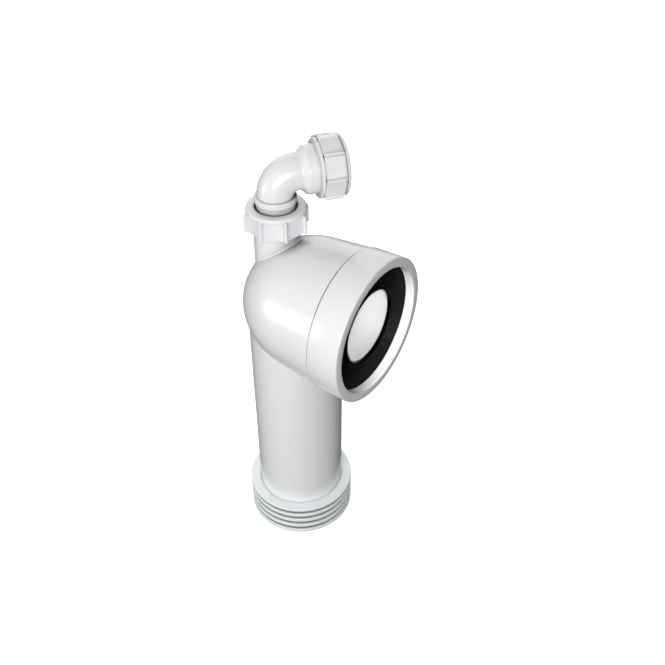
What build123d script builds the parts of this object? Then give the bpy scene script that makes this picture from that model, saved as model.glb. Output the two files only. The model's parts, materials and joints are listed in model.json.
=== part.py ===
from build123d import *
from math import acos, atan2, degrees, hypot
import os

# A white plastic pan connector: a domed bend with a pan socket on its side and a long tail,
# a finned seal on the tail's end, and a vent boss behind the crown. A waste elbow stands in
# the boss, held by a compression nut, and a second nut waits on the elbow for a waste pipe.
# Origin: centre of the tail's lower end. +Z runs up the tail, +X out of the pan socket.
# All sizes are in millimetres.

# Tail
TAIL_OD = 90.0
TAIL_WALL = 3.2

# Finned seal on the tail's end
OUTLET_SEAL_HEIGHT = 38.0
FIN_CREST_OD = 112.0
FIN_COUNT = 4
FIN_ROOT_THICKNESS = 4.8
FIN_CREST_THICKNESS = 4.4
TOP_FLANGE_THICKNESS = 3.4
SLEEVE_WALL = 2.4
END_LIP_THICKNESS = 2.0
SEAL_SLACK = 0.1

# Small rounds that the moulded edges have
EDGE_ROUND = 0.6

# Domed head, turned about the socket's axis
SOCKET_HEIGHT = 285.0
HEAD_WALL = 3.2
DOME_LENGTH = 73.0
DOME_RADIUS = 64.0
DOME_OVERHANG = 1.0
SHOULDER_X = 61.5
SHOULDER_RADIUS = 67.4
SEAT_STEP = 2.4
TAIL_JOIN_ROUND = 1.2

# Collar that closes the socket over the pan seal
COLLAR_LENGTH = 31.8
COLLAR_STEP = 1.0
COLLAR_FLARE = 0.9
COLLAR_SLACK = 0.1
RIM_WIDTH = 9.3
RIM_WALL = 4.2
RIM_OUTER_ROUND = 2.4
RIM_INNER_ROUND = 1.4
MOUTH_DEPTH = 8.7
SKIRT_WALL = 3.2

# Black pan seal
PAN_SEAL_FLANGE = 4.6
PAN_SEAL_BEAD = 3.6
PAN_SEAL_WEB = 2.2
PAN_BORE = 71.0
LIP_SET_BACK = 1.6
LIP_PROUD = 1.2
LIP_WALL = 3.2
LIP_LENGTH = 3.6
LIP_ROUND = 0.6

# Vent boss behind the crown
BOSS_X = -17.5
BOSS_OD = 43.0
BOSS_HEIGHT = 83.6
BOSS_ROUND = 1.2
VENT_PORT = 30.0
VENT_SHELF = 1.5

# Compression joint, used on the boss and on the elbow. Its fine threads are left off: the ends that
# they would be cut on stand at the thread's root, and the nuts are bored to clear its crest.
PIPE_OD = 35.0
PIPE_CLEARANCE = 0.5
PARTING_GAP = 0.3
THREAD_DEPTH = 0.8
THREAD_CLEARANCE = 0.3
NUT_HEIGHT = 22.0
NUT_WALL = 2.4
NUT_END_WALL = 3.2
NUT_SIDES = 8
NUT_HOLE_CLEARANCE = 1.7
NUT_END_RING = 3.0
NUT_END_PROUD = 2.2
NUT_EDGE_ROUND = 2.0
RIB_PROUD = 2.7
RIB_WIDTH = 2.4
BOSS_NUT_TURN = 8.5
ELBOW_NUT_TURN = -2.5
WASHER_THICKNESS = 1.6
WASHER_CLEARANCE = 0.3
RING_HEIGHT = 8.0
RING_IN_MOUTH = 5.0
RING_WALL = 2.4
RING_TAPER = 1.6
RING_CLEARANCE = 0.3

# Waste elbow
ELBOW_TURN = 52.0
ELBOW_RISE = 38.2
ELBOW_WALL = 2.5
BEND_RADIUS = 19.4
BEND_OD = 33.0
STOP_COLLAR_HEIGHT = 6.0
STOP_COLLAR_PROUD = 1.2
ARM_LENGTH = 52.6
ARM_NECK = 2.1
CONE_LENGTH = 4.9
CONE_ROUND = 0.8
STOP_RING_WIDTH = 2.8
STOP_RING_PROUD = 1.3
STOP_RING_CHAMFER = 0.4
PIPE_SOCKET_DEPTH = 25.0

# Worked out from the sizes above
tail_radius = TAIL_OD / 2
tail_bore = tail_radius - TAIL_WALL
dome_centre_x = DOME_LENGTH - DOME_OVERHANG - tail_radius
seat_radius = SHOULDER_RADIUS - SEAT_STEP
collar_bore = seat_radius + COLLAR_SLACK
face_x = SHOULDER_X + COLLAR_LENGTH
face_radius = SHOULDER_RADIUS + COLLAR_STEP + COLLAR_FLARE
mouth_radius = face_radius - RIM_WIDTH
skirt_end_x = face_x - MOUTH_DEPTH
skirt_radius = mouth_radius + SKIRT_WALL
seat_end_x = skirt_end_x - PAN_SEAL_FLANGE
pipe_radius = PIPE_OD / 2
pipe_bore = pipe_radius + PIPE_CLEARANCE
thread_root = BOSS_OD / 2
thread_crest = thread_root + THREAD_DEPTH
nut_bore = thread_crest + THREAD_CLEARANCE
nut_flat = nut_bore + NUT_WALL
ring_radius = pipe_radius + RING_CLEARANCE + RING_WALL
washer_face = NUT_END_WALL + PARTING_GAP
ring_face = washer_face + WASHER_THICKNESS + PARTING_GAP
mouth_below_nut_face = ring_face + RING_HEIGHT - RING_IN_MOUTH
boss_mouth_z = SOCKET_HEIGHT + BOSS_HEIGHT
boss_depth = BOSS_HEIGHT - (DOME_RADIUS - HEAD_WALL + VENT_SHELF)
arm_nut_face = ARM_LENGTH + mouth_below_nut_face
arm_ring_front = arm_nut_face - NUT_HEIGHT - PARTING_GAP
arm_ring_back = arm_ring_front - STOP_RING_WIDTH
spigot_end_z = -ELBOW_RISE - boss_depth + PARTING_GAP

# Where the elbow's two axes cross, and where each compression joint has its nut's outer face
elbow_place = Pos(BOSS_X, 0, boss_mouth_z + ELBOW_RISE) * Rot(0, 0, ELBOW_TURN)
boss_joint = Pos(BOSS_X, 0, boss_mouth_z + mouth_below_nut_face)
arm_joint = elbow_place * Pos(arm_nut_face, 0, 0) * Rot(0, 90, 0)


def turned(points, rounds=()):
    """Solid of revolution about X from (x, radius) points, with some corners rounded.

    Args:
        points: the outline's corners, in order.
        rounds: pairs of a corner and the radius that rounds it.
    """
    face = make_face(Polyline(*points, close=True))
    for corner, radius in rounds:
        face = fillet(face.vertices().sort_by_distance(corner)[0], radius)
    return revolve(face, Axis.X)


def upright(shape):
    """Stand a shape that was turned about X along Z."""
    return Rot(0, -90, 0) * shape


def rod(radius, low, high):
    """Cylinder on Z between two heights."""
    return Pos(0, 0, low) * Cylinder(radius, high - low, align=(Align.CENTER, Align.CENTER, Align.MIN))


def head_form(wall):
    """Domed head on the socket's axis, drawn in by a wall for the hollow inside it.

    The dome ends where a straight cone out to the shoulder touches it.
    """
    dome_radius = DOME_RADIUS - wall
    shoulder_x = SHOULDER_X - wall
    shoulder = (shoulder_x, SHOULDER_RADIUS - wall)
    seat = seat_radius - wall
    dome_length = DOME_LENGTH - wall
    dome_back = (dome_centre_x - dome_length, 0)
    across = (shoulder[0] - dome_centre_x) / dome_length
    up = shoulder[1] / dome_radius
    touch = degrees(atan2(up, across) + acos(1 / hypot(up, across)))
    dome = EllipticalCenterArc((dome_centre_x, 0), dome_length, dome_radius, touch, arc_size=180 - touch)
    cone = Line(dome @ 0, shoulder)
    rest = Polyline(shoulder, (shoulder_x, seat), (seat_end_x, seat), (seat_end_x, 0), dome_back)
    return Pos(0, 0, SOCKET_HEIGHT) * revolve(make_face([dome, cone, rest]), Axis.X)


def joint_mouth(depth):
    """Pipe bore of a compression joint, with the seat that its ring is pressed into; opens at z = 0."""
    seat_wide = ring_radius + SEAL_SLACK
    return rod(pipe_bore, -depth, 0) + Pos(0, 0, -RING_IN_MOUTH / 2) * Cone(
        seat_wide - RING_TAPER, seat_wide, RING_IN_MOUTH
    )


def bend_body():
    """Head, tail and vent boss as one moulding."""
    tail = rod(tail_radius, END_LIP_THICKNESS, SOCKET_HEIGHT)
    boss = Pos(BOSS_X, 0, 0) * rod(thread_root, SOCKET_HEIGHT, boss_mouth_z)
    body = fillet_join(head_form(0) + tail, tail_radius, TAIL_JOIN_ROUND)
    body = fillet_join(body + boss, thread_root, BOSS_ROUND)
    body -= head_form(HEAD_WALL)
    body -= rod(tail_bore, 0, SOCKET_HEIGHT)
    body -= Pos(BOSS_X, 0, 0) * rod(VENT_PORT / 2, SOCKET_HEIGHT, boss_mouth_z)
    body -= Pos(BOSS_X, 0, boss_mouth_z) * joint_mouth(boss_depth)
    return body


def fillet_join(body, radius, size):
    """Round the edge where an upright pipe of the given radius runs into the head."""
    pipe = [f for f in body.faces().filter_by(GeomType.CYLINDER) if abs(f.radius - radius) < 1e-6]
    join = [e for e in pipe[0].edges() if e.geom_type not in (GeomType.CIRCLE, GeomType.LINE)]
    return fillet(join, size)


def socket_collar():
    """Collar that slides over the socket's seat and holds the pan seal's flange."""
    groove_end_x = face_x - RIM_WALL
    back_edge = (SHOULDER_X, SHOULDER_RADIUS + COLLAR_STEP)
    rim_outer = (face_x, face_radius)
    rim_inner = (face_x, mouth_radius)
    collar = turned(
        [
            (SHOULDER_X, collar_bore),
            back_edge,
            rim_outer,
            rim_inner,
            (skirt_end_x, mouth_radius),
            (skirt_end_x, skirt_radius),
            (groove_end_x, skirt_radius),
            (groove_end_x, collar_bore),
        ],
        [(back_edge, EDGE_ROUND), (rim_outer, RIM_OUTER_ROUND), (rim_inner, RIM_INNER_ROUND)],
    )
    return Pos(0, 0, SOCKET_HEIGHT) * collar


def pan_seal():
    """Rubber diaphragm with a clamped flange, a locking bead and a turned-in lip."""
    outer = collar_bore - SEAL_SLACK
    bead_inner = skirt_radius + SEAL_SLACK
    bead_end_x = skirt_end_x + PAN_SEAL_BEAD
    flange_inner = seat_radius - HEAD_WALL
    bore = PAN_BORE / 2
    lip_outer = bore + LIP_WALL
    lip_front_x = skirt_end_x - LIP_SET_BACK
    lip_back_x = lip_front_x - LIP_LENGTH
    web_front_x = lip_front_x - LIP_PROUD
    lip_edges = [(lip_front_x, lip_outer), (lip_front_x, bore)]
    seal = turned(
        [
            (seat_end_x, outer),
            (bead_end_x, outer),
            (bead_end_x, bead_inner),
            (skirt_end_x, bead_inner),
            (skirt_end_x, mouth_radius),
            (web_front_x, lip_outer),
            *lip_edges,
            (lip_back_x, bore),
            (lip_back_x, lip_outer),
            (web_front_x - PAN_SEAL_WEB, lip_outer),
            (skirt_end_x - PAN_SEAL_WEB, flange_inner),
            (seat_end_x, flange_inner),
        ],
        [(edge, LIP_ROUND) for edge in lip_edges],
    )
    return Pos(0, 0, SOCKET_HEIGHT) * seal


def outlet_seal():
    """Sleeve with a top flange and even fins, the lowest flush with the end that turns in under the tail."""
    sleeve = tail_radius + SEAL_SLACK + SLEEVE_WALL
    crest = FIN_CREST_OD / 2
    pitch = (OUTLET_SEAL_HEIGHT - TOP_FLANGE_THICKNESS) / FIN_COUNT
    taper = (FIN_ROOT_THICKNESS - FIN_CREST_THICKNESS) / 2
    outline = [(0, tail_bore), (0, crest)]
    for fin in range(FIN_COUNT):
        foot = fin * pitch
        if fin > 0:
            outline += [(foot, sleeve), (foot + taper, crest)]
        outline += [
            (foot + taper + FIN_CREST_THICKNESS, crest),
            (foot + FIN_ROOT_THICKNESS, sleeve),
        ]
    outline += [
        (OUTLET_SEAL_HEIGHT - TOP_FLANGE_THICKNESS - taper, sleeve),
        (OUTLET_SEAL_HEIGHT - TOP_FLANGE_THICKNESS, crest),
        (OUTLET_SEAL_HEIGHT, crest),
        (OUTLET_SEAL_HEIGHT, tail_radius + SEAL_SLACK),
        (END_LIP_THICKNESS, tail_radius + SEAL_SLACK),
        (END_LIP_THICKNESS, tail_bore),
    ]
    return upright(turned(outline))


def compression_nut():
    """Eight-sided nut with a round ring at its outer end and a grip rib on each corner; face at z = 0."""
    drum = extrude(RegularPolygon(nut_flat, NUT_SIDES, major_radius=False), -NUT_HEIGHT)
    rib_radius = drum.bounding_box().max.X + RIB_PROUD
    edge = nut_flat + NUT_END_PROUD
    slope_end = -NUT_END_RING - (rib_radius - edge)
    end_round = RadiusArc((-NUT_EDGE_ROUND, edge), (0, edge - NUT_EDGE_ROUND), NUT_EDGE_ROUND)
    end_rest = Polyline(
        (0, edge - NUT_EDGE_ROUND), (0, 0), (-NUT_HEIGHT, 0), (-NUT_HEIGHT, rib_radius),
        (slope_end, rib_radius), (-NUT_END_RING, edge), (-NUT_EDGE_ROUND, edge),
    )
    rib = Pos(nut_flat, 0, -NUT_HEIGHT) * Box(
        rib_radius - nut_flat, RIB_WIDTH, NUT_HEIGHT, align=(Align.MIN, Align.CENTER, Align.MIN)
    )
    for place in PolarLocations(0, NUT_SIDES):
        drum += place * rib
    drum += rod(edge, -NUT_END_RING, 0)
    drum &= upright(revolve(make_face([end_round, end_rest]), Axis.X))
    drum -= rod(nut_bore, -NUT_HEIGHT, -NUT_END_WALL)
    drum -= rod(pipe_radius + NUT_HOLE_CLEARANCE, -NUT_HEIGHT, 0)
    return drum


def slip_washer():
    """Flat ring that lets the nut turn without dragging the rubber ring round."""
    outer = nut_bore - WASHER_CLEARANCE
    ring = rod(outer, -WASHER_THICKNESS, 0) - rod(pipe_bore, -WASHER_THICKNESS, 0)
    return Pos(0, 0, -washer_face) * ring


def sealing_ring():
    """Rubber ring whose lower end tapers into the mouth of the joint."""
    inner = pipe_radius + RING_CLEARANCE
    ring = turned([
        (0, inner),
        (0, ring_radius),
        (RING_IN_MOUTH - RING_HEIGHT, ring_radius),
        (-RING_HEIGHT, ring_radius - RING_TAPER),
        (-RING_HEIGHT, inner),
    ])
    return Pos(0, 0, -ring_face) * upright(ring)


def vent_elbow():
    """Elbow with a spigot down into the boss and a threaded socket on its arm."""
    bend_axis = Axis((BEND_RADIUS, 0, -BEND_RADIUS), (0, 1, 0))
    bend_start = Pos(0, 0, -BEND_RADIUS)
    stop_ring_radius = nut_flat + STOP_RING_PROUD
    waterway = BEND_OD / 2 - ELBOW_WALL
    spigot_top = -BEND_RADIUS
    cone_start = BEND_RADIUS + ARM_NECK
    cone_end = cone_start + CONE_LENGTH

    elbow = revolve(bend_start * Circle(BEND_OD / 2), bend_axis, 90)
    elbow += rod(pipe_radius, spigot_end_z, spigot_top)
    elbow += rod(pipe_radius + STOP_COLLAR_PROUD, spigot_top - STOP_COLLAR_HEIGHT, spigot_top)
    cone_edge = (cone_end, thread_root)
    ring_edges = [(arm_ring_back + STOP_RING_CHAMFER, stop_ring_radius), (arm_ring_front, stop_ring_radius)]
    elbow += turned(
        [
            (BEND_RADIUS, 0),
            (BEND_RADIUS, BEND_OD / 2),
            (cone_start, BEND_OD / 2),
            cone_edge,
            (arm_ring_back, thread_root),
            *ring_edges,
            (arm_ring_front, thread_root),
            (ARM_LENGTH, thread_root),
            (ARM_LENGTH, 0),
        ],
        [(cone_edge, CONE_ROUND)] + [(edge, EDGE_ROUND) for edge in ring_edges],
    )
    elbow -= revolve(bend_start * Circle(waterway), bend_axis, 90)
    elbow -= rod(pipe_radius - ELBOW_WALL, spigot_end_z, spigot_top)
    elbow -= Pos(ARM_LENGTH, 0, 0) * Rot(0, 90, 0) * joint_mouth(PIPE_SOCKET_DEPTH)
    elbow -= Rot(0, 90, 0) * rod(waterway, BEND_RADIUS, ARM_LENGTH)
    return elbow_place * elbow


parts = {
    "bend_body": bend_body(),
    "socket_collar": socket_collar(),
    "pan_seal": pan_seal(),
    "outlet_seal": outlet_seal(),
    "boss_seal": boss_joint * sealing_ring(),
    "boss_washer": boss_joint * slip_washer(),
    "boss_nut": boss_joint * Rot(0, 0, BOSS_NUT_TURN) * compression_nut(),
    "vent_elbow": vent_elbow(),
    "elbow_seal": arm_joint * sealing_ring(),
    "elbow_washer": arm_joint * slip_washer(),
    "elbow_nut": arm_joint * Rot(0, 0, ELBOW_NUT_TURN) * compression_nut(),
}

os.makedirs("parts", exist_ok=True)
for name, shape in parts.items():
    export_step(shape, f"parts/{name}.step")
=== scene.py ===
"""Looks of a white plastic pan connector, built around its packed construction model.

Lengths are millimetres in the dataclass fields and metres in the scene. The frame is the model's own:
+Z runs up the tail, +X out of the pan socket, and the origin is the centre of the tail's lower end.
"""

import json
import logging
import math
from dataclasses import dataclass, field
from enum import Enum, IntEnum
from typing import NamedTuple, Sequence

import bmesh
import bpy
from mathutils import Matrix, Vector


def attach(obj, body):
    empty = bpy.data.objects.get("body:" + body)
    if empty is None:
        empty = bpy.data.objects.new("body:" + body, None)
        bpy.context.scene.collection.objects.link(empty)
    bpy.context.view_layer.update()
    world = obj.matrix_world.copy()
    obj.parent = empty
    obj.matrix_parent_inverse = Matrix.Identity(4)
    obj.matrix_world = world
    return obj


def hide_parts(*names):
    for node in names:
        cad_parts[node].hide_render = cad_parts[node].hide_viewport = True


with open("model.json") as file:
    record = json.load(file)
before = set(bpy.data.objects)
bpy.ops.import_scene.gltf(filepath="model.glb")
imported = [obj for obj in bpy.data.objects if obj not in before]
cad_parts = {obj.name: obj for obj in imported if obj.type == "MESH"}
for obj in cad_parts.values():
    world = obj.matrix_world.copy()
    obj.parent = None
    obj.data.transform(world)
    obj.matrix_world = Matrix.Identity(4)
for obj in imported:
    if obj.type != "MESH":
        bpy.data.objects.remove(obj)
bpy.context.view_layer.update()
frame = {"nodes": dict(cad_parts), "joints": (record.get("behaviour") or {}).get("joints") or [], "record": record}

MM = 0.001
# Points nearer than these, in metres, become one: in a turned shell, where the elbow's shells meet, and
# in the slivers that a cut leaves.
MERGE_DISTANCE = 1e-6
JOIN_DISTANCE = 5e-6
SLIVER_LENGTH = 1.5e-5
SHARP_ANGLE = math.radians(34.0)
FULL_TURN = 2 * math.pi
ALONG = Vector((1, 0, 0))
UP = Vector((0, 0, 1))

log = logging.getLogger("pan_connector")


class Body(Enum):
    """Bodies of the model that move on their own."""

    CONNECTOR = "connector"
    ELBOW = "elbow"
    BOSS_WASHER = "boss_slip_washer"
    BOSS_NUT = "boss_nut"
    ELBOW_WASHER = "elbow_slip_washer"
    ELBOW_NUT = "elbow_nut"


class Slot(Enum):
    """Material slots that the record names."""

    WHITE_PLASTIC = "white_plastic"
    BLACK_RUBBER = "black_rubber"
    PALE_RUBBER = "pale_rubber"


class MixInput(IntEnum):
    """Inputs of a Mix node by number, because their names repeat."""

    FACTOR = 0
    NUMBER_A = 2
    NUMBER_B = 3
    COLOUR_A = 6
    COLOUR_B = 7


class MixOutput(IntEnum):
    """Outputs of a Mix node by number, because their names repeat."""

    NUMBER = 0
    COLOUR = 2


class Corner(NamedTuple):
    """Corner of a turned outline, in millimetres along the axis and out from it, and its rounding."""

    along: float
    out: float
    rounding: float = 0.0


@dataclass(frozen=True)
class Axle:
    """Line that pieces are turned about, and the direction in which their outlines are drawn."""

    origin: Vector
    along: Vector
    start: Vector

    def place(self, turn_deg: float = 0.0) -> Matrix:
        """Matrix from local axes, X along the line and Z in the start direction, to the scene.

        Args:
            turn_deg: turn about the line, from the start direction.

        Returns:
            The placing matrix.
        """
        axes = Matrix((self.along, self.start.cross(self.along), self.start)).transposed()
        turn = Matrix.Rotation(math.radians(turn_deg), 4, "X")
        return Matrix.Translation(self.origin) @ axes.to_4x4() @ turn


def linear(colour: str) -> tuple[float, float, float, float]:
    """Turn an sRGB hex colour into linear red, green, blue and alpha.

    Args:
        colour: six hex digits.

    Returns:
        The linear colour, opaque.
    """
    shares = [int(colour[i:i + 2], 16) / 255 for i in (0, 2, 4)]
    parts = [s / 12.92 if s <= 0.04045 else ((s + 0.055) / 1.055) ** 2.4 for s in shares]
    return (*parts, 1.0)


def add_node(
    tree: bpy.types.NodeTree, kind: str, settings: dict | None = None, links: dict | None = None
) -> bpy.types.Node:
    """Add a node, set its properties and sockets, and link its inputs.

    Args:
        tree: node tree that gets the node.
        kind: the node's type name.
        settings: values by property name, socket name or socket number.
        links: output sockets by the name or number of the input that they feed.

    Returns:
        The new node.
    """
    node = tree.nodes.new(kind)
    for key, value in (settings or {}).items():
        if isinstance(key, int) or key in node.inputs:
            node.inputs[key].default_value = value
        else:
            setattr(node, key, value)
    for key, socket in (links or {}).items():
        tree.links.new(socket, node.inputs[key])
    return node


def new_material(name: str) -> tuple[bpy.types.Material, bpy.types.NodeTree]:
    """Make an empty node material.

    Args:
        name: the stuff that the material is.

    Returns:
        The material and its node tree.
    """
    material = bpy.data.materials.new(name)
    material.use_nodes = True
    material.node_tree.nodes.clear()
    return material, material.node_tree


@dataclass(frozen=True)
class MouldedFinish:
    """Plastic or rubber out of a mould: an even colour, a fine grain and a faint unevenness from cooling.

    Real mould grain is about 0.1 mm wide and too fine to show in the render, so grain_mm is drawn coarser.
    Painted shade darkens the colour in creases above a height, by ambient occlusion: crease_open gives the
    openness at which the painted shade is darkest and the openness from which the colour is untouched.
    """

    name: str
    colour: str
    shade: str
    roughness: float
    roughness_spread: float
    grain_mm: float
    grain_depth_mm: float
    flow_mm: float
    flow_depth_mm: float
    ior: float = 1.5
    specular: float = 0.5
    grain_detail: float = 2.0
    grain_roughness: float = 0.55
    flow_detail: float = 3.0
    flow_roughness: float = 0.5
    crease_mm: float = 4.0
    crease_shade: float = 1.0
    crease_open: tuple[float, float] = (0.1, 0.62)
    crease_above_mm: float = -10.0
    crease_fade_mm: float = 5.0
    crease_samples: int = 24

    def paint_crease_shade(
        self, tree: bpy.types.NodeTree, place: bpy.types.NodeSocket, tint: bpy.types.NodeSocket
    ) -> bpy.types.NodeSocket:
        """Paint shade into a colour: darken it in the creases above the finish's lowest height.

        Args:
            tree: the material's node tree.
            place: Object coordinates.
            tint: the plain colour.

        Returns:
            The colour with its painted crease shade.
        """
        openness = add_node(
            tree,
            "ShaderNodeAmbientOcclusion",
            {"Distance": self.crease_mm * MM, "samples": self.crease_samples},
        )
        crease = add_node(
            tree,
            "ShaderNodeMapRange",
            {
                "From Min": self.crease_open[0],
                "From Max": self.crease_open[1],
                "To Min": self.crease_shade,
                "To Max": 1.0,
            },
            {"Value": openness.outputs["AO"]},
        )
        height = add_node(tree, "ShaderNodeSeparateXYZ", None, {"Vector": place})
        high_enough = add_node(
            tree,
            "ShaderNodeMapRange",
            {
                "From Min": self.crease_above_mm * MM,
                "From Max": (self.crease_above_mm + self.crease_fade_mm) * MM,
            },
            {"Value": height.outputs["Z"]},
        )
        used = add_node(
            tree,
            "ShaderNodeMix",
            {"data_type": "FLOAT", MixInput.NUMBER_A: 1.0},
            {MixInput.FACTOR: high_enough.outputs["Result"], MixInput.NUMBER_B: crease.outputs["Result"]},
        )
        shaded = add_node(
            tree,
            "ShaderNodeVectorMath",
            {"operation": "SCALE"},
            {"Vector": tint, "Scale": used.outputs[MixOutput.NUMBER]},
        )
        return shaded.outputs["Vector"]

    def material(self) -> bpy.types.Material:
        """Build the node material.

        Returns:
            The finished material.
        """
        material, tree = new_material(self.name)
        place = add_node(tree, "ShaderNodeTexCoord").outputs["Object"]
        grain = add_node(
            tree,
            "ShaderNodeTexNoise",
            {
                "Scale": 1 / (self.grain_mm * MM),
                "Detail": self.grain_detail,
                "Roughness": self.grain_roughness,
            },
            {"Vector": place},
        )
        flow = add_node(
            tree,
            "ShaderNodeTexNoise",
            {
                "Scale": 1 / (self.flow_mm * MM),
                "Detail": self.flow_detail,
                "Roughness": self.flow_roughness,
            },
            {"Vector": place},
        )
        colour = add_node(
            tree,
            "ShaderNodeMix",
            {
                "data_type": "RGBA",
                MixInput.COLOUR_A: linear(self.colour),
                MixInput.COLOUR_B: linear(self.shade),
            },
            {MixInput.FACTOR: flow.outputs["Fac"]},
        )
        tint = colour.outputs[MixOutput.COLOUR]
        # Painted shade: the colour is darkened in the creases, where less light reaches.
        if self.crease_shade < 1:
            tint = self.paint_crease_shade(tree, place, tint)
        roughness = add_node(
            tree,
            "ShaderNodeMapRange",
            {
                "To Min": self.roughness - self.roughness_spread,
                "To Max": self.roughness + self.roughness_spread,
            },
            {"Value": flow.outputs["Fac"]},
        )
        waves = add_node(
            tree,
            "ShaderNodeBump",
            {"Strength": 1.0, "Distance": self.flow_depth_mm * MM},
            {"Height": flow.outputs["Fac"]},
        )
        relief = add_node(
            tree,
            "ShaderNodeBump",
            {"Strength": 1.0, "Distance": self.grain_depth_mm * MM},
            {"Height": grain.outputs["Fac"], "Normal": waves.outputs["Normal"]},
        )
        surface = add_node(
            tree,
            "ShaderNodeBsdfPrincipled",
            {"IOR": self.ior, "Specular IOR Level": self.specular},
            {
                "Base Color": tint,
                "Roughness": roughness.outputs["Result"],
                "Normal": relief.outputs["Normal"],
            },
        )
        add_node(tree, "ShaderNodeOutputMaterial", None, {"Surface": surface.outputs["BSDF"]})
        return material


# Polypropylene, injection moulded in a polished tool: satin, a little cool, with a soft broad highlight.
# Painted shade darkens its colour in the creases, only from about the foot of the boss up, so the tail stays even.
WHITE_POLYPROPYLENE = MouldedFinish(
    name="moulded_white_polypropylene",
    colour="e9eaec",
    shade="e6e8ea",
    roughness=0.25,
    roughness_spread=0.03,
    grain_mm=0.9,
    grain_depth_mm=0.006,
    flow_mm=28.0,
    flow_depth_mm=0.05,
    ior=1.49,
    specular=0.7,
    crease_mm=16.0,
    crease_shade=0.05,
    crease_open=(0.15, 0.88),
    crease_above_mm=322.0,
)

# The same plastic out of the nuts' tool, whose faces were left a little rougher for grip.
# Painted shade darkens its colour in its creases, such as the ribs' feet, towards black.
NUT_POLYPROPYLENE = MouldedFinish(
    name="moulded_nut_polypropylene",
    colour="e9eaec",
    shade="e6e8ea",
    roughness=0.36,
    roughness_spread=0.05,
    grain_mm=0.7,
    grain_depth_mm=0.01,
    flow_mm=14.0,
    flow_depth_mm=0.03,
    ior=1.49,
    specular=0.6,
    crease_mm=6.0,
    crease_shade=0.0,
    crease_open=(0.36, 0.84),
)

# EPDM rubber, compression moulded: deep black and matt, with hardly any sheen.
BLACK_RUBBER = MouldedFinish(
    name="moulded_black_epdm",
    colour="020203",
    shade="050506",
    roughness=0.3,
    roughness_spread=0.05,
    grain_mm=0.8,
    grain_depth_mm=0.012,
    flow_mm=9.0,
    flow_depth_mm=0.03,
    ior=1.5,
    specular=0.015,
)

# Soft thermoplastic rubber, injection moulded: matt and faintly green, with painted shade darkening its colour
# between the fins.
PALE_RUBBER = MouldedFinish(
    name="moulded_pale_thermoplastic_rubber",
    colour="ecf4f3",
    shade="e8f1f0",
    roughness=0.58,
    roughness_spread=0.05,
    grain_mm=0.8,
    grain_depth_mm=0.015,
    flow_mm=16.0,
    flow_depth_mm=0.03,
    crease_mm=10.0,
    crease_shade=0.02,
    crease_open=(0.24, 0.6),
)


def rounded(corners: Sequence[Corner], segments: int = 4) -> list[Vector]:
    """Round the corners of an outline.

    Args:
        corners: the outline's corners, in order; the first and last of an open one have no rounding.
        segments: pieces that each rounding is made of.

    Returns:
        The outline's points in local axes, in metres, X along the axis and Z out from it.
    """
    sketch = bmesh.new()
    points = [sketch.verts.new((c.along * MM, 0, c.out * MM)) for c in corners]
    first, last = points[0].co.copy(), points[-1].co.copy()
    sketch.faces.new(points)
    for point, corner in zip(points, corners):
        if corner.rounding:
            bmesh.ops.bevel(
                sketch,
                geom=[point],
                offset=corner.rounding * MM,
                affect="VERTICES",
                segments=segments,
                profile=0.5,
                material=-1,
            )
    sketch.faces.ensure_lookup_table()
    outline = [v.co.copy() for v in sketch.faces[0].verts]
    sketch.free()
    start = min(range(len(outline)), key=lambda i: (outline[i] - first).length)
    outline = outline[start:] + outline[:start]
    if (outline[1] - last).length < MERGE_DISTANCE:
        outline = [outline[0], *reversed(outline[1:])]
    return outline


def spin_outline(
    shell: bmesh.types.BMesh, corners: Sequence[Corner], place: Matrix, steps: int, closed: bool
) -> None:
    """Turn an outline a full round about its axis, into a shell.

    Args:
        shell: mesh that gets the turned faces.
        corners: the outline's corners in local axes.
        place: matrix from local axes to the scene.
        steps: divisions of the full turn.
        closed: whether the last corner joins the first.
    """
    points = [shell.verts.new(place @ p) for p in rounded(corners)]
    pairs = list(zip(points, points[1:]))
    if closed:
        pairs.append((points[-1], points[0]))
    edges = [shell.edges.new(pair) for pair in pairs]
    bmesh.ops.spin(
        shell,
        geom=points + edges,
        cent=place.translation,
        axis=place.to_3x3() @ ALONG,
        angle=FULL_TURN,
        steps=steps,
        use_merge=True,
    )


def turned_shell(corners: Sequence[Corner], place: Matrix, steps: int) -> bmesh.types.BMesh:
    """Make a closed shell by turning a closed outline.

    Args:
        corners: the outline's corners.
        place: matrix from local axes to the scene.
        steps: divisions of the full turn.

    Returns:
        The shell.
    """
    shell = bmesh.new()
    spin_outline(shell, corners, place, steps, closed=True)
    close_up(shell)
    return shell


def close_up(shell: bmesh.types.BMesh) -> None:
    """Merge a shell's doubles and point its faces outwards."""
    bmesh.ops.remove_doubles(shell, verts=shell.verts, dist=MERGE_DISTANCE)
    bmesh.ops.recalc_face_normals(shell, faces=shell.faces)


def finished_object(name: str, shell: bmesh.types.BMesh) -> bpy.types.Object:
    """Turn a shell into a smooth object with crisp edges.

    Args:
        name: the piece's name.
        shell: its mesh, which is freed.

    Returns:
        The object, linked to the scene at the origin.
    """
    mesh = bpy.data.meshes.new(name)
    shell.to_mesh(mesh)
    shell.free()
    mesh.shade_smooth()
    mesh.set_sharp_from_angle(angle=SHARP_ANGLE)
    piece = bpy.data.objects.new(name, mesh)
    bpy.context.scene.collection.objects.link(piece)
    return piece


def seat(piece: bpy.types.Object, material: bpy.types.Material, body: Body, slot: Slot, *nodes: str) -> None:
    """Dress a piece, set it on its body and let it stand for its nodes.

    Args:
        piece: the finished object.
        material: what it is made of.
        body: body that it moves with.
        slot: the record's slot for its finish; not used.
        nodes: nodes of the model that it stands for.
    """
    piece.data.materials.append(material)
    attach(piece, body.value)
    if nodes:
        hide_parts(*nodes)
    log.info("%s: %d faces, on %s", piece.name, len(piece.data.polygons), body.value)


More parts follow.
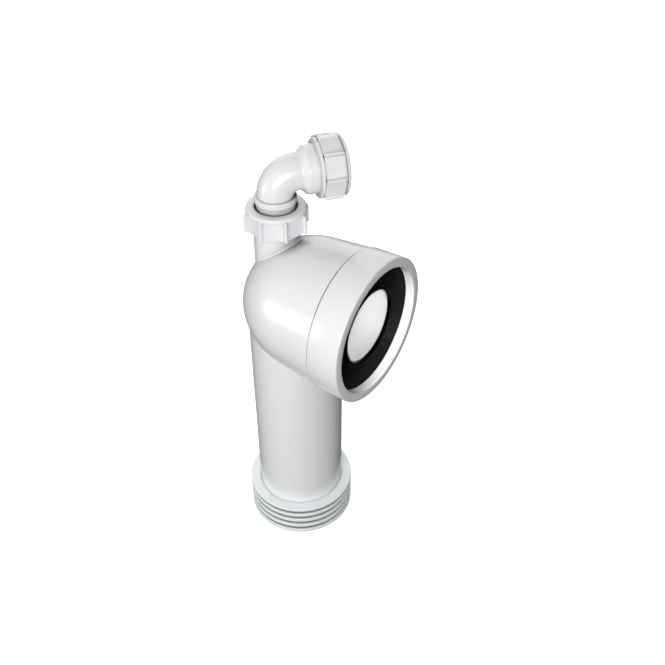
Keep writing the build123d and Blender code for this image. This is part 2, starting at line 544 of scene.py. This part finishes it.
def dress_node(node: str, material: bpy.types.Material) -> None:
    """Give a node of the model its finished material."""
    target = frame["nodes"][node]
    target.data.materials.clear()
    target.data.materials.append(material)
    log.info("%s: the model's own shape", node)


def joint(name: str) -> dict:
    """Find a joint of the record by its name."""
    return next(j for j in frame["joints"] if j["name"] == name)


def mount(name: str) -> dict:
    """Find a mount of the record by its name."""
    return next(m for m in frame["record"]["mounts"] if m["name"] == name)


def reach(node: str, axle: Axle) -> tuple[float, float]:
    """Measure where a node lies along an axle.

    Args:
        node: node of the model.
        axle: line to measure along.

    Returns:
        Its lowest and highest place along the line, in millimetres from the axle's origin.
    """
    places = [(v.co - axle.origin).dot(axle.along) / MM for v in frame["nodes"][node].data.vertices]
    return min(places), max(places)


SWIVEL = Vector(joint("elbow_swivel")["pos_m"])
ARM_JOINT = joint("elbow_nut_turn")
ELBOW_CENTRE = Vector((SWIVEL.x, SWIVEL.y, ARM_JOINT["pos_m"][2]))
SOCKET_AXLE = Axle(Vector((0, 0, mount("pan_inlet")["pos_m"][2])), ALONG, UP)
TAIL_AXLE = Axle(Vector((0, 0, 0)), UP, ALONG)
BOSS_AXLE = Axle(Vector((SWIVEL.x, SWIVEL.y, 0)), UP, ALONG)
SPIGOT_AXLE = Axle(ELBOW_CENTRE, UP, Vector(ARM_JOINT["axis"]).normalized())
ARM_AXLE = Axle(ELBOW_CENTRE, Vector(ARM_JOINT["axis"]).normalized(), -UP)


@dataclass
class FinnedSeal:
    """Pale sleeve on the tail's end, with a top flange and four soft fins."""

    crest_radius: float = 55.99
    sleeve_radius: float = 47.5
    tail_radius: float = 45.1
    bore_radius: float = 41.8
    flange: float = 3.4
    fins: int = 4
    fin_root: float = 4.8
    fin_crest: float = 4.4
    end_lip: float = 2.0
    crest_round: float = 0.8
    root_round: float = 0.9
    bore_round: float = 0.25
    steps: int = 192

    def corners(self) -> list[Corner]:
        """Outline of the seal.

        Returns:
            Its corners, from the bore up over the fins and back down the sleeve.
        """
        low, high = reach("outlet_seal", TAIL_AXLE)
        pitch = (high - low - self.flange) / self.fins
        taper = (self.fin_root - self.fin_crest) / 2
        outline = [
            Corner(low, self.bore_radius, self.crest_round),
            Corner(low, self.crest_radius, self.crest_round),
        ]
        for fin in range(self.fins):
            foot = low + fin * pitch
            if fin > 0:
                outline.append(Corner(foot, self.sleeve_radius, self.root_round))
                outline.append(Corner(foot + taper, self.crest_radius, self.crest_round))
            outline.append(Corner(foot + taper + self.fin_crest, self.crest_radius, self.crest_round))
            outline.append(Corner(foot + self.fin_root, self.sleeve_radius, self.root_round))
        under = high - self.flange
        outline += [
            Corner(under - taper, self.sleeve_radius, self.root_round),
            Corner(under, self.crest_radius, self.crest_round),
            Corner(high, self.crest_radius, self.crest_round),
            Corner(high, self.tail_radius, self.bore_round),
            Corner(low + self.end_lip, self.tail_radius),
            Corner(low + self.end_lip, self.bore_radius),
        ]
        return outline

    def build(self, material: bpy.types.Material) -> None:
        """Model the seal and seat it on the tail."""
        piece = finished_object("finned_seal", turned_shell(self.corners(), TAIL_AXLE.place(), self.steps))
        seat(piece, material, Body.CONNECTOR, Slot.PALE_RUBBER, "outlet_seal")


@dataclass
class PanSocket:
    """Collar that closes the pan socket, and the black lip seal that it holds."""

    shoulder: float = 61.5
    seam_gap: float = 0.8
    bore: float = 65.1
    back_radius: float = 68.4
    back_round: float = 1.0
    face: float = 93.3
    face_radius: float = 69.26
    mouth_radius: float = 60.0
    skirt_end: float = 84.6
    skirt_radius: float = 63.2
    groove_end: float = 89.1
    seal_radius: float = 65.0
    seal_back: float = 80.0
    bead_end: float = 88.2
    bead_inner: float = 63.3
    flange_inner: float = 61.8
    web: float = 2.2
    lip_bore: float = 35.5
    lip_outer: float = 38.7
    lip_front: float = 83.0
    lip_back: float = 79.4
    lip_proud: float = 1.2
    rim_round: float = 1.4
    mouth_round: float = 0.7
    skirt_round: float = 0.3
    seal_round: float = 0.3
    bead_round: float = 0.5
    web_round: float = 0.6
    lip_edge_round: float = 0.5
    lip_round: float = 0.8
    flange_root_round: float = 0.8
    flange_round: float = 0.2
    steps: int = 192

    def collar_corners(self) -> list[Corner]:
        """Outline of the collar, which stands off the shoulder by the seam.

        Returns:
            Its corners.
        """
        back = self.shoulder + self.seam_gap
        return [
            Corner(back, self.bore),
            Corner(back, self.back_radius, self.back_round),
            Corner(self.face, self.face_radius, self.rim_round),
            Corner(self.face, self.mouth_radius, self.mouth_round),
            Corner(self.skirt_end, self.mouth_radius, self.skirt_round),
            Corner(self.skirt_end, self.skirt_radius),
            Corner(self.groove_end, self.skirt_radius),
            Corner(self.groove_end, self.bore),
        ]

    def seal_corners(self) -> list[Corner]:
        """Outline of the seal: a clamped flange with a bead, a web and a lip that stands proud.

        Returns:
            Its corners.
        """
        web_front = self.lip_front - self.lip_proud
        return [
            Corner(self.seal_back, self.seal_radius, self.seal_round),
            Corner(self.bead_end, self.seal_radius, self.bead_round),
            Corner(self.bead_end, self.bead_inner, self.bead_round),
            Corner(self.skirt_end, self.bead_inner),
            Corner(self.skirt_end, self.mouth_radius),
            Corner(web_front, self.lip_outer, self.web_round),
            Corner(self.lip_front, self.lip_outer, self.lip_edge_round),
            Corner(self.lip_front, self.lip_bore, self.lip_round),
            Corner(self.lip_back, self.lip_bore, self.lip_round),
            Corner(self.lip_back, self.lip_outer),
            Corner(web_front - self.web, self.lip_outer),
            Corner(self.skirt_end - self.web, self.flange_inner, self.flange_root_round),
            Corner(self.seal_back, self.flange_inner, self.flange_round),
        ]

    def build(self, plastic: bpy.types.Material, rubber: bpy.types.Material) -> None:
        """Model the collar and the seal and seat them on the head."""
        place = SOCKET_AXLE.place()
        collar = finished_object("pan_collar", turned_shell(self.collar_corners(), place, self.steps))
        seat(collar, plastic, Body.CONNECTOR, Slot.WHITE_PLASTIC, "socket_collar")
        seal = finished_object("pan_lip_seal", turned_shell(self.seal_corners(), place, self.steps))
        seat(seal, rubber, Body.CONNECTOR, Slot.BLACK_RUBBER, "pan_seal")


@dataclass
class Thread:
    """Coarse right-hand thread of a compression joint, as a ridge on a pipe's outside or a nut's inside."""

    pitch: float = 3.5
    foot_width: float = 1.9
    top_width: float = 0.9
    rooting: float = 0.1
    steps_per_turn: int = 48

    def add(
        self, shell: bmesh.types.BMesh, place: Matrix, foot: float, top: float, low: float, high: float
    ) -> None:
        """Add the ridge to a shell.

        Args:
            shell: mesh that gets the ridge.
            place: matrix from local axes to the scene.
            foot: radius of the ridge's foot, a little inside the wall that it stands on.
            top: radius of its top.
            low: where the ridge's middle begins along the axis.
            high: where its middle ends.
        """
        steps = round((high - low) / self.pitch * self.steps_per_turn)
        half_foot, half_top = self.foot_width / 2, self.top_width / 2
        section = [(-half_foot, foot), (-half_top, top), (half_top, top), (half_foot, foot)]
        points = [shell.verts.new(place @ Vector(((low + a) * MM, 0, r * MM))) for a, r in section]
        edges = [shell.edges.new((points[i - 1], points[i])) for i in range(len(points))]
        axis = place.to_3x3() @ ALONG
        swept = bmesh.ops.spin(
            shell,
            geom=points + edges,
            cent=place.translation,
            axis=axis,
            dvec=axis * (self.pitch * MM / self.steps_per_turn),
            angle=FULL_TURN * steps / self.steps_per_turn,
            steps=steps,
            use_merge=False,
        )
        last = [g for g in swept["geom_last"] if isinstance(g, bmesh.types.BMEdge)]
        for ends in (edges, last):
            bmesh.ops.holes_fill(shell, edges=ends, sides=len(section))


@dataclass
class GripNut:
    """Eight-sided compression nut with a rib on each corner, its slide washer and its squeeze ring."""

    name: str
    axle: Axle
    face: float
    turn_deg: float
    thread_phase: float
    nut_body: Body
    washer_body: Body
    ring_body: Body
    height: float = 22.0
    flat: float = 25.0
    sides: int = 8
    rib_width: float = 2.4
    rib_radius: float = 29.72
    end_ring: float = 3.0
    edge_radius: float = 27.2
    edge_round: float = 2.0
    end_wall: float = 3.2
    bore: float = 22.6
    hole: float = 19.2
    thread_top: float = 21.8
    thread_low: float = -20.0
    thread_high: float = -7.0
    rib_round: float = 0.3
    rib_round_steps: int = 3
    edge_bevel: float = 0.25
    edge_bevel_steps: int = 2
    edge_bevel_angle_deg: float = 40.0
    hole_round: float = 0.5
    bore_round: float = 0.4
    mouth_chamfer: float = 0.8
    washer_round: float = 0.3
    washer_face: float = -3.5
    washer_thickness: float = 1.6
    washer_inner: float = 18.0
    washer_outer: float = 22.3
    ring_face: float = -5.4
    ring_height: float = 8.0
    ring_in_mouth: float = 5.0
    ring_inner: float = 17.8
    ring_outer: float = 20.2
    ring_taper: float = 1.6
    ring_face_round: float = 0.5
    ring_taper_round: float = 0.6
    ring_end_round: float = 0.3
    steps: int = 128
    spare: float = 0.4

    def place(self, turn_deg: float = 0.0) -> Matrix:
        """Matrix from the nut's own axes, with its outer face at the origin, to the scene."""
        return self.axle.place(turn_deg) @ Matrix.Translation(ALONG * self.face * MM)

    def ribbed_drum(self) -> bmesh.types.BMesh:
        """Model the nut's outside as a prism: flats with a rib on each corner.

        Returns:
            The prism, a little longer than the nut at both ends.
        """
        half_side = math.pi / self.sides
        half_rib = self.rib_width / 2
        root = (self.flat - half_rib * math.sin(half_side)) / math.cos(half_side)
        rib = [(root, half_rib), (self.rib_radius, half_rib), (self.rib_radius, -half_rib), (root, -half_rib)]
        place = self.place(self.turn_deg)
        drum = bmesh.new()
        points = []
        for side in range(self.sides):
            turn = Matrix.Rotation(side * 2 * half_side, 4, "X")
            section = [Vector((self.spare * MM, across * MM, out * MM)) for out, across in rib]
            points += [drum.verts.new(place @ turn @ corner) for corner in section]
        face = drum.faces.new(points)
        grown = bmesh.ops.extrude_face_region(drum, geom=[face])
        moved = [g for g in grown["geom"] if isinstance(g, bmesh.types.BMVert)]
        length = place.to_3x3() @ ALONG * (-(self.height + 2 * self.spare) * MM)
        bmesh.ops.translate(drum, verts=moved, vec=length)
        half_length = length.length_squared / 2
        uprights = [e for e in drum.edges if abs((e.verts[0].co - e.verts[1].co).dot(length)) > half_length]
        bmesh.ops.bevel(
            drum,
            geom=uprights,
            offset=self.rib_round * MM,
            affect="EDGES",
            segments=self.rib_round_steps,
            profile=0.5,
            material=-1,
        )
        close_up(drum)
        return drum

    def envelope(self) -> list[Corner]:
        """Outline of the ring that the prism is cut to: the round end, the slope to the ribs, and the bore.

        Returns:
            Its corners.
        """
        # The slope starts just off the end ring's back, so that the cut never runs along its edge.
        slope_start = self.spare / 4 - self.end_ring
        margin = self.rib_radius + self.spare
        return [
            Corner(0, self.hole, self.hole_round),
            Corner(0, self.edge_radius, self.edge_round),
            Corner(slope_start, self.edge_radius),
            Corner(slope_start - (margin - self.edge_radius), margin),
            Corner(-self.height, margin),
            Corner(-self.height, self.bore + self.mouth_chamfer),
            Corner(-self.height + self.mouth_chamfer, self.bore),
            Corner(-self.end_wall, self.bore, self.bore_round),
            Corner(-self.end_wall, self.hole, self.bore_round),
        ]

    def end_corners(self) -> list[Corner]:
        """Outline of the round ring at the nut's outer end, with some spare that the cut takes off.

        Returns:
            Its corners.
        """
        rough_radius = self.edge_radius + self.spare
        return [
            Corner(self.spare / 2, self.hole),
            Corner(self.spare / 2, rough_radius),
            Corner(-self.end_ring, rough_radius),
            Corner(-self.end_ring, self.bore),
            Corner(-self.end_wall / 2, self.hole),
        ]

    def cut_shell(self) -> bmesh.types.BMesh:
        """Join the prism and its end ring and cut them to the turned outline.

        Returns:
            The nut's shell, still without its thread.
        """
        drum = finished_object(self.name + "_drum", self.ribbed_drum())
        end_ring = turned_shell(self.end_corners(), self.place(), self.steps)
        ring = finished_object(self.name + "_ring", end_ring)
        envelope = turned_shell(self.envelope(), self.place(), self.steps)
        outline = finished_object(self.name + "_outline", envelope)
        for tool, operation in ((ring, "UNION"), (outline, "INTERSECT")):
            cut = drum.modifiers.new(operation.lower(), "BOOLEAN")
            cut.operation = operation
            cut.solver = "EXACT"
            cut.object = tool
        soften = drum.modifiers.new("soft_edges", "BEVEL")
        soften.width = self.edge_bevel * MM
        soften.segments = self.edge_bevel_steps
        soften.limit_method = "ANGLE"
        soften.angle_limit = math.radians(self.edge_bevel_angle_deg)
        graph = bpy.context.evaluated_depsgraph_get()
        cut_mesh = drum.evaluated_get(graph).to_mesh()
        shell = bmesh.new()
        shell.from_mesh(cut_mesh)
        bmesh.ops.remove_doubles(shell, verts=shell.verts, dist=SLIVER_LENGTH)
        bmesh.ops.dissolve_degenerate(shell, dist=SLIVER_LENGTH, edges=shell.edges)
        for scrap in (drum, ring, outline):
            bpy.data.objects.remove(scrap)
        return shell

    def build_nut(self, material: bpy.types.Material) -> None:
        """Cut the nut, add its thread in step with the one that it screws on, and seat it."""
        shell = self.cut_shell()
        low = self.face + self.thread_low
        low += (self.thread_phase - low) % Thread.pitch
        high = self.face + self.thread_high
        Thread().add(shell, self.axle.place(), self.bore + Thread.rooting, self.thread_top, low, high)
        close_up(shell)
        nut = finished_object(self.name + "_grip_nut", shell)
        seat(nut, material, self.nut_body, Slot.WHITE_PLASTIC, self.name + "_nut")

    def build_rings(self, plastic: bpy.types.Material, rubber: bpy.types.Material) -> None:
        """Model the slide washer and the squeeze ring under the nut's end and seat them."""
        washer_end = self.washer_face - self.washer_thickness
        washer = [
            Corner(self.washer_face, self.washer_inner, self.washer_round),
            Corner(self.washer_face, self.washer_outer, self.washer_round),
            Corner(washer_end, self.washer_outer, self.washer_round),
            Corner(washer_end, self.washer_inner, self.washer_round),
        ]
        slide = finished_object(self.name + "_slide_washer", turned_shell(washer, self.place(), self.steps))
        seat(slide, plastic, self.washer_body, Slot.WHITE_PLASTIC, self.name + "_washer")
        ring_end = self.ring_face - self.ring_height
        ring = [
            Corner(self.ring_face, self.ring_inner, self.ring_face_round),
            Corner(self.ring_face, self.ring_outer, self.ring_face_round),
            Corner(ring_end + self.ring_in_mouth, self.ring_outer, self.ring_taper_round),
            Corner(ring_end, self.ring_outer - self.ring_taper, self.ring_end_round),
            Corner(ring_end, self.ring_inner, self.ring_end_round),
        ]
        squeeze = finished_object(self.name + "_squeeze_ring", turned_shell(ring, self.place(), self.steps))
        seat(squeeze, rubber, self.ring_body, Slot.BLACK_RUBBER, self.name + "_seal")

    def build(
        self, plastic: bpy.types.Material, washer: bpy.types.Material, rubber: bpy.types.Material
    ) -> None:
        """Model the nut with what it holds."""
        self.build_nut(plastic)
        self.build_rings(washer, rubber)


@dataclass
class WasteElbow:
    """Elbow that stands in the boss: a spigot, a bend, and an arm with a stop ring and a threaded socket."""

    bend_radius: float = 19.4
    bend_outer: float = 16.5
    waterway: float = 14.0
    bend_steps: int = 28
    spigot_end: float = -59.2
    spigot_outer: float = 17.5
    spigot_inner: float = 15.0
    stop_collar: float = 18.7
    stop_collar_height: float = 6.0
    cone_start: float = 21.5
    cone_end: float = 26.4
    collar: float = 21.5
    ring_back: float = 35.9
    ring_front: float = 38.7
    ring_radius: float = 26.3
    ring_chamfer: float = 0.4
    thread_root: float = 21.5
    thread_top: float = 22.3
    thread_low: float = 40.2
    thread_high: float = 50.9
    arm_end: float = 52.6
    ring_seat_mouth: float = 20.3
    ring_seat_depth: float = 5.0
    ring_seat_end: float = 18.7
    socket_radius: float = 18.0
    socket_depth: float = 25.0
    stop_collar_round: float = 0.6
    spigot_end_round: float = 0.8
    spigot_bore_round: float = 0.4
    spigot_step: float = 0.5
    cone_start_round: float = 0.6
    cone_end_round: float = 0.8
    ring_root_round: float = 0.2
    ring_edge_round: float = 0.6
    thread_end_round: float = 0.4
    seat_round: float = 0.2
    socket_round: float = 0.5
    steps: int = 128

    def spigot_corners(self) -> list[Corner]:
        """Outline of the spigot and its stop collar, open where the bend goes on.

        Returns:
            Its corners, down the outside and up the inside.
        """
        top = -self.bend_radius
        collar_end = top - self.stop_collar_height
        return [
            Corner(top, self.bend_outer),
            Corner(top, self.stop_collar, self.stop_collar_round),
            Corner(collar_end, self.stop_collar, self.stop_collar_round),
            Corner(collar_end, self.spigot_outer),
            Corner(self.spigot_end, self.spigot_outer, self.spigot_end_round),
            Corner(self.spigot_end, self.spigot_inner, self.spigot_bore_round),
            Corner(top - self.spigot_step, self.spigot_inner, self.spigot_bore_round),
            Corner(top, self.waterway),
        ]

    def arm_corners(self) -> list[Corner]:
        """Outline of the arm, open where the bend ends.

        Returns:
            Its corners, along the outside to the mouth and back along the inside.
        """
        seat_end = self.arm_end - self.ring_seat_depth
        socket_end = self.arm_end - self.socket_depth
        return [
            Corner(self.bend_radius, self.bend_outer),
            Corner(self.cone_start, self.bend_outer, self.cone_start_round),
            Corner(self.cone_end, self.collar, self.cone_end_round),
            Corner(self.ring_back, self.collar, self.ring_root_round),
            Corner(self.ring_back + self.ring_chamfer, self.ring_radius, self.ring_edge_round),
            Corner(self.ring_front, self.ring_radius, self.ring_edge_round),
            Corner(self.ring_front, self.thread_root, self.thread_end_round),
            Corner(self.arm_end, self.thread_root, self.thread_end_round),
            Corner(self.arm_end, self.ring_seat_mouth, self.seat_round),
            Corner(seat_end, self.ring_seat_end),
            Corner(seat_end, self.socket_radius),
            Corner(socket_end, self.socket_radius, self.socket_round),
            Corner(socket_end, self.waterway, self.socket_round),
            Corner(self.bend_radius, self.waterway),
        ]

    def add_bend(self, shell: bmesh.types.BMesh) -> None:
        """Sweep the bend's outside and its waterway round from the spigot to the arm."""
        arm = ARM_AXLE.along
        foot = Matrix.Translation(ELBOW_CENTRE - UP * self.bend_radius * MM)
        level = foot @ SPIGOT_AXLE.place().to_3x3().to_4x4() @ Matrix.Rotation(math.pi / 2, 4, "Y")
        for radius in (self.bend_outer, self.waterway):
            ring = bmesh.ops.create_circle(
                shell, cap_ends=False, radius=radius * MM, segments=self.steps, matrix=level
            )
            edges = {e for v in ring["verts"] for e in v.link_edges}
            bmesh.ops.spin(
                shell,
                geom=ring["verts"] + list(edges),
                cent=ELBOW_CENTRE + (arm - UP) * self.bend_radius * MM,
                axis=UP.cross(arm),
                angle=math.pi / 2,
                steps=self.bend_steps,
                use_merge=False,
            )

    def build(self, material: bpy.types.Material) -> None:
        """Model the elbow as one shell with its thread and seat it."""
        shell = bmesh.new()
        spin_outline(shell, self.spigot_corners(), SPIGOT_AXLE.place(), self.steps, closed=False)
        self.add_bend(shell)
        spin_outline(shell, self.arm_corners(), ARM_AXLE.place(), self.steps, closed=False)
        bmesh.ops.remove_doubles(shell, verts=shell.verts, dist=JOIN_DISTANCE)
        thread_foot = self.thread_root - Thread.rooting
        Thread().add(
            shell, ARM_AXLE.place(), thread_foot, self.thread_top, self.thread_low, self.thread_high
        )
        close_up(shell)
        elbow = finished_object("waste_elbow", shell)
        seat(elbow, material, Body.ELBOW, Slot.WHITE_PLASTIC, "vent_elbow")


@dataclass
class BossThread:
    """Thread on the vent boss's mouth, which the boss nut screws down on."""

    root: float = 21.4
    top: float = 22.3
    low: float = 357.4
    high: float = 367.2

    def build(self, material: bpy.types.Material) -> None:
        """Model the thread and seat it on the boss."""
        shell = bmesh.new()
        Thread().add(shell, BOSS_AXLE.place(), self.root, self.top, self.low, self.high)
        close_up(shell)
        seat(finished_object("boss_thread", shell), material, Body.CONNECTOR, Slot.WHITE_PLASTIC)


@dataclass
class PhotoCamera:
    """Camera where the photograph was taken from."""

    target: tuple[float, float, float] = (0.0, 62.24, 197.1)
    distance: float = 878.2
    azimuth_deg: float = 34.43
    elevation_deg: float = 39.67
    focal_pixels: float = 834.5
    image_pixels: float = 665.0
    sensor: float = 36.0
    nearest: float = 10.0
    furthest: float = 50000.0

    def build(self) -> None:
        """Set the camera up and make it the scene's own."""
        lens = bpy.data.cameras.new("photo_camera")
        lens.sensor_width = self.sensor
        lens.lens = self.focal_pixels / self.image_pixels * self.sensor
        lens.clip_start = self.nearest * MM
        lens.clip_end = self.furthest * MM
        camera = bpy.data.objects.new("photo_camera", lens)
        bpy.context.scene.collection.objects.link(camera)
        back = direction(self.azimuth_deg, self.elevation_deg)
        camera.location = Vector(self.target) * MM + back * self.distance * MM
        camera.rotation_euler = (-back).to_track_quat("-Z", "Y").to_euler()
        bpy.context.scene.camera = camera


def direction(azimuth_deg: float, elevation_deg: float) -> Vector:
    """Direction from the part to a camera or a light.

    Args:
        azimuth_deg: 0 from the front, -Y, and 90 from +X.
        elevation_deg: height above the floor.

    Returns:
        The unit vector.
    """
    azimuth, elevation = math.radians(azimuth_deg), math.radians(elevation_deg)
    level = math.cos(elevation)
    return Vector((math.sin(azimuth) * level, -math.cos(azimuth) * level, math.sin(elevation)))


@dataclass
class Softbox:
    """Large soft light that looks at the part."""

    name: str
    azimuth_deg: float
    elevation_deg: float
    power: float
    side: float = 600.0
    distance: float = 1500.0

    def build(self, target: Vector) -> None:
        """Hang the light and point it at the target."""
        lamp = bpy.data.lights.new(self.name, "AREA")
        lamp.shape = "SQUARE"
        lamp.size = self.side * MM
        lamp.energy = self.power
        holder = bpy.data.objects.new(self.name, lamp)
        bpy.context.scene.collection.objects.link(holder)
        back = direction(self.azimuth_deg, self.elevation_deg)
        holder.location = target + back * self.distance * MM
        holder.rotation_euler = (-back).to_track_quat("-Z", "Y").to_euler()


@dataclass
class MouthLight:
    """Gridded lamp beside the camera whose narrow oval beam only goes in at the pan socket's mouth."""

    name: str = "mouth_light"
    azimuth_deg: float = 31.3
    elevation_deg: float = 39.3
    distance: float = 1400.0
    mouth: float = PanSocket.face
    beam_radius: float = 60.0
    beam_blend: float = 0.06
    lamp_radius: float = 0.5
    power: float = 62.0

    def build(self) -> None:
        """Hang the lamp and turn its oval so that it covers the mouth as the camera sees it."""
        lamp = bpy.data.lights.new(self.name, "SPOT")
        lamp.spot_size = 2 * math.atan(self.beam_radius / self.distance)
        lamp.spot_blend = self.beam_blend
        lamp.shadow_soft_size = self.lamp_radius * MM
        lamp.energy = self.power
        holder = bpy.data.objects.new(self.name, lamp)
        bpy.context.scene.collection.objects.link(holder)
        back = direction(self.azimuth_deg, self.elevation_deg)
        tall = back.cross(ALONG).normalized()
        turn = Matrix((tall.cross(back), tall, back)).transposed().to_4x4()
        oval = Matrix.Diagonal((abs(back.dot(ALONG)), 1, 1, 1))
        centre = SOCKET_AXLE.origin + ALONG * self.mouth * MM
        holder.matrix_world = Matrix.Translation(centre + back * self.distance * MM) @ turn @ oval


@dataclass
class Studio:
    """Cove of white paper, soft lights and a pale room that is dark below the horizon."""

    cove_radius: float = 3600.0
    cove_height: float = 3400.0
    cove_round: float = 1400.0
    cove_steps: int = 96
    paper_colour: str = "f4f4f4"
    paper_roughness: float = 0.8
    paper_glow: float = 0.85
    room_colour: str = "ffffff"
    room_strength: float = 0.39
    floor_strength: float = 0.05
    horizon: tuple[float, float] = (-0.15, 0.15)
    middle: tuple[float, float, float] = (20.0, 10.0, 230.0)
    lights: list[Softbox] = field(
        default_factory=lambda: [
            Softbox("key_softbox", azimuth_deg=20.0, elevation_deg=20.0, power=12.4),
            Softbox("camera_softbox", azimuth_deg=42.0, elevation_deg=26.0, power=4.6),
            Softbox("low_left_softbox", azimuth_deg=-42.0, elevation_deg=4.0, power=4.6),
            Softbox("back_panel", azimuth_deg=-146.0, elevation_deg=25.0, power=14.0, side=1800.0),
        ]
    )

    def build(self) -> None:
        """Lay the paper, hang the lights and set the room's own light."""
        bpy.context.scene.view_settings.view_transform = "Standard"
        self.lay_paper()
        for light in self.lights:
            light.build(Vector(self.middle) * MM)
        MouthLight().build()
        self.light_room()

    def light_room(self) -> None:
        """Set the room's own light, dark below the horizon, which darkens the part's edges by reflection."""
        room = bpy.data.worlds.new("pale_room")
        room.use_nodes = True
        tree = room.node_tree
        tree.nodes.clear()
        toward = add_node(tree, "ShaderNodeTexCoord").outputs["Generated"]
        height = add_node(tree, "ShaderNodeSeparateXYZ", None, {"Vector": toward})
        strength = add_node(
            tree,
            "ShaderNodeMapRange",
            {
                "From Min": self.horizon[0],
                "From Max": self.horizon[1],
                "To Min": self.floor_strength,
                "To Max": self.room_strength,
            },
            {"Value": height.outputs["Z"]},
        )
        glow = add_node(
            tree,
            "ShaderNodeBackground",
            {"Color": linear(self.room_colour)},
            {"Strength": strength.outputs["Result"]},
        )
        add_node(tree, "ShaderNodeOutputWorld", None, {"Surface": glow.outputs["Background"]})
        bpy.context.scene.world = room

    def lay_paper(self) -> None:
        """Lay a round sheet of backlit paper that turns up into a wall far behind the part."""
        corners = [
            Corner(0, 0),
            Corner(0, self.cove_radius, self.cove_round),
            Corner(self.cove_height, self.cove_radius),
        ]
        sheet = bmesh.new()
        spin_outline(sheet, corners, TAIL_AXLE.place(), self.cove_steps, closed=False)
        close_up(sheet)
        paper = finished_object("paper_floor", sheet)
        material, tree = new_material("backlit_white_paper")
        surface = add_node(
            tree,
            "ShaderNodeBsdfPrincipled",
            {
                "Base Color": linear(self.paper_colour),
                "Roughness": self.paper_roughness,
                "Emission Color": linear(self.paper_colour),
                "Emission Strength": self.paper_glow,
            },
        )
        add_node(tree, "ShaderNodeOutputMaterial", None, {"Surface": surface.outputs["BSDF"]})
        paper.data.materials.append(material)
        paper.visible_diffuse = False
        paper.visible_glossy = False


def main() -> None:
    """Build every piece, then the studio and the camera."""
    logging.basicConfig(level=logging.INFO, format="%(name)s: %(message)s")
    white = WHITE_POLYPROPYLENE.material()
    nut_white = NUT_POLYPROPYLENE.material()
    black = BLACK_RUBBER.material()
    pale = PALE_RUBBER.material()
    dress_node("bend_body", white)
    PanSocket().build(white, black)
    FinnedSeal().build(pale)
    elbow = WasteElbow()
    elbow.build(white)
    boss_thread = BossThread()
    boss_thread.build(white)
    boss_nut_phase = boss_thread.low + Thread.pitch / 2
    elbow_nut_phase = elbow.thread_low + Thread.pitch / 2
    boss_nut = GripNut(
        "boss",
        BOSS_AXLE,
        face=377.0,
        turn_deg=8.5,
        thread_phase=boss_nut_phase,
        nut_body=Body.BOSS_NUT,
        washer_body=Body.BOSS_WASHER,
        ring_body=Body.CONNECTOR,
    )
    elbow_nut = GripNut(
        "elbow",
        ARM_AXLE,
        face=61.0,
        turn_deg=-2.5,
        thread_phase=elbow_nut_phase,
        nut_body=Body.ELBOW_NUT,
        washer_body=Body.ELBOW_WASHER,
        ring_body=Body.ELBOW,
    )
    for nut in (boss_nut, elbow_nut):
        nut.build(nut_white, white, black)
    Studio().build()
    PhotoCamera().build()


if __name__ == "__main__":
    main()
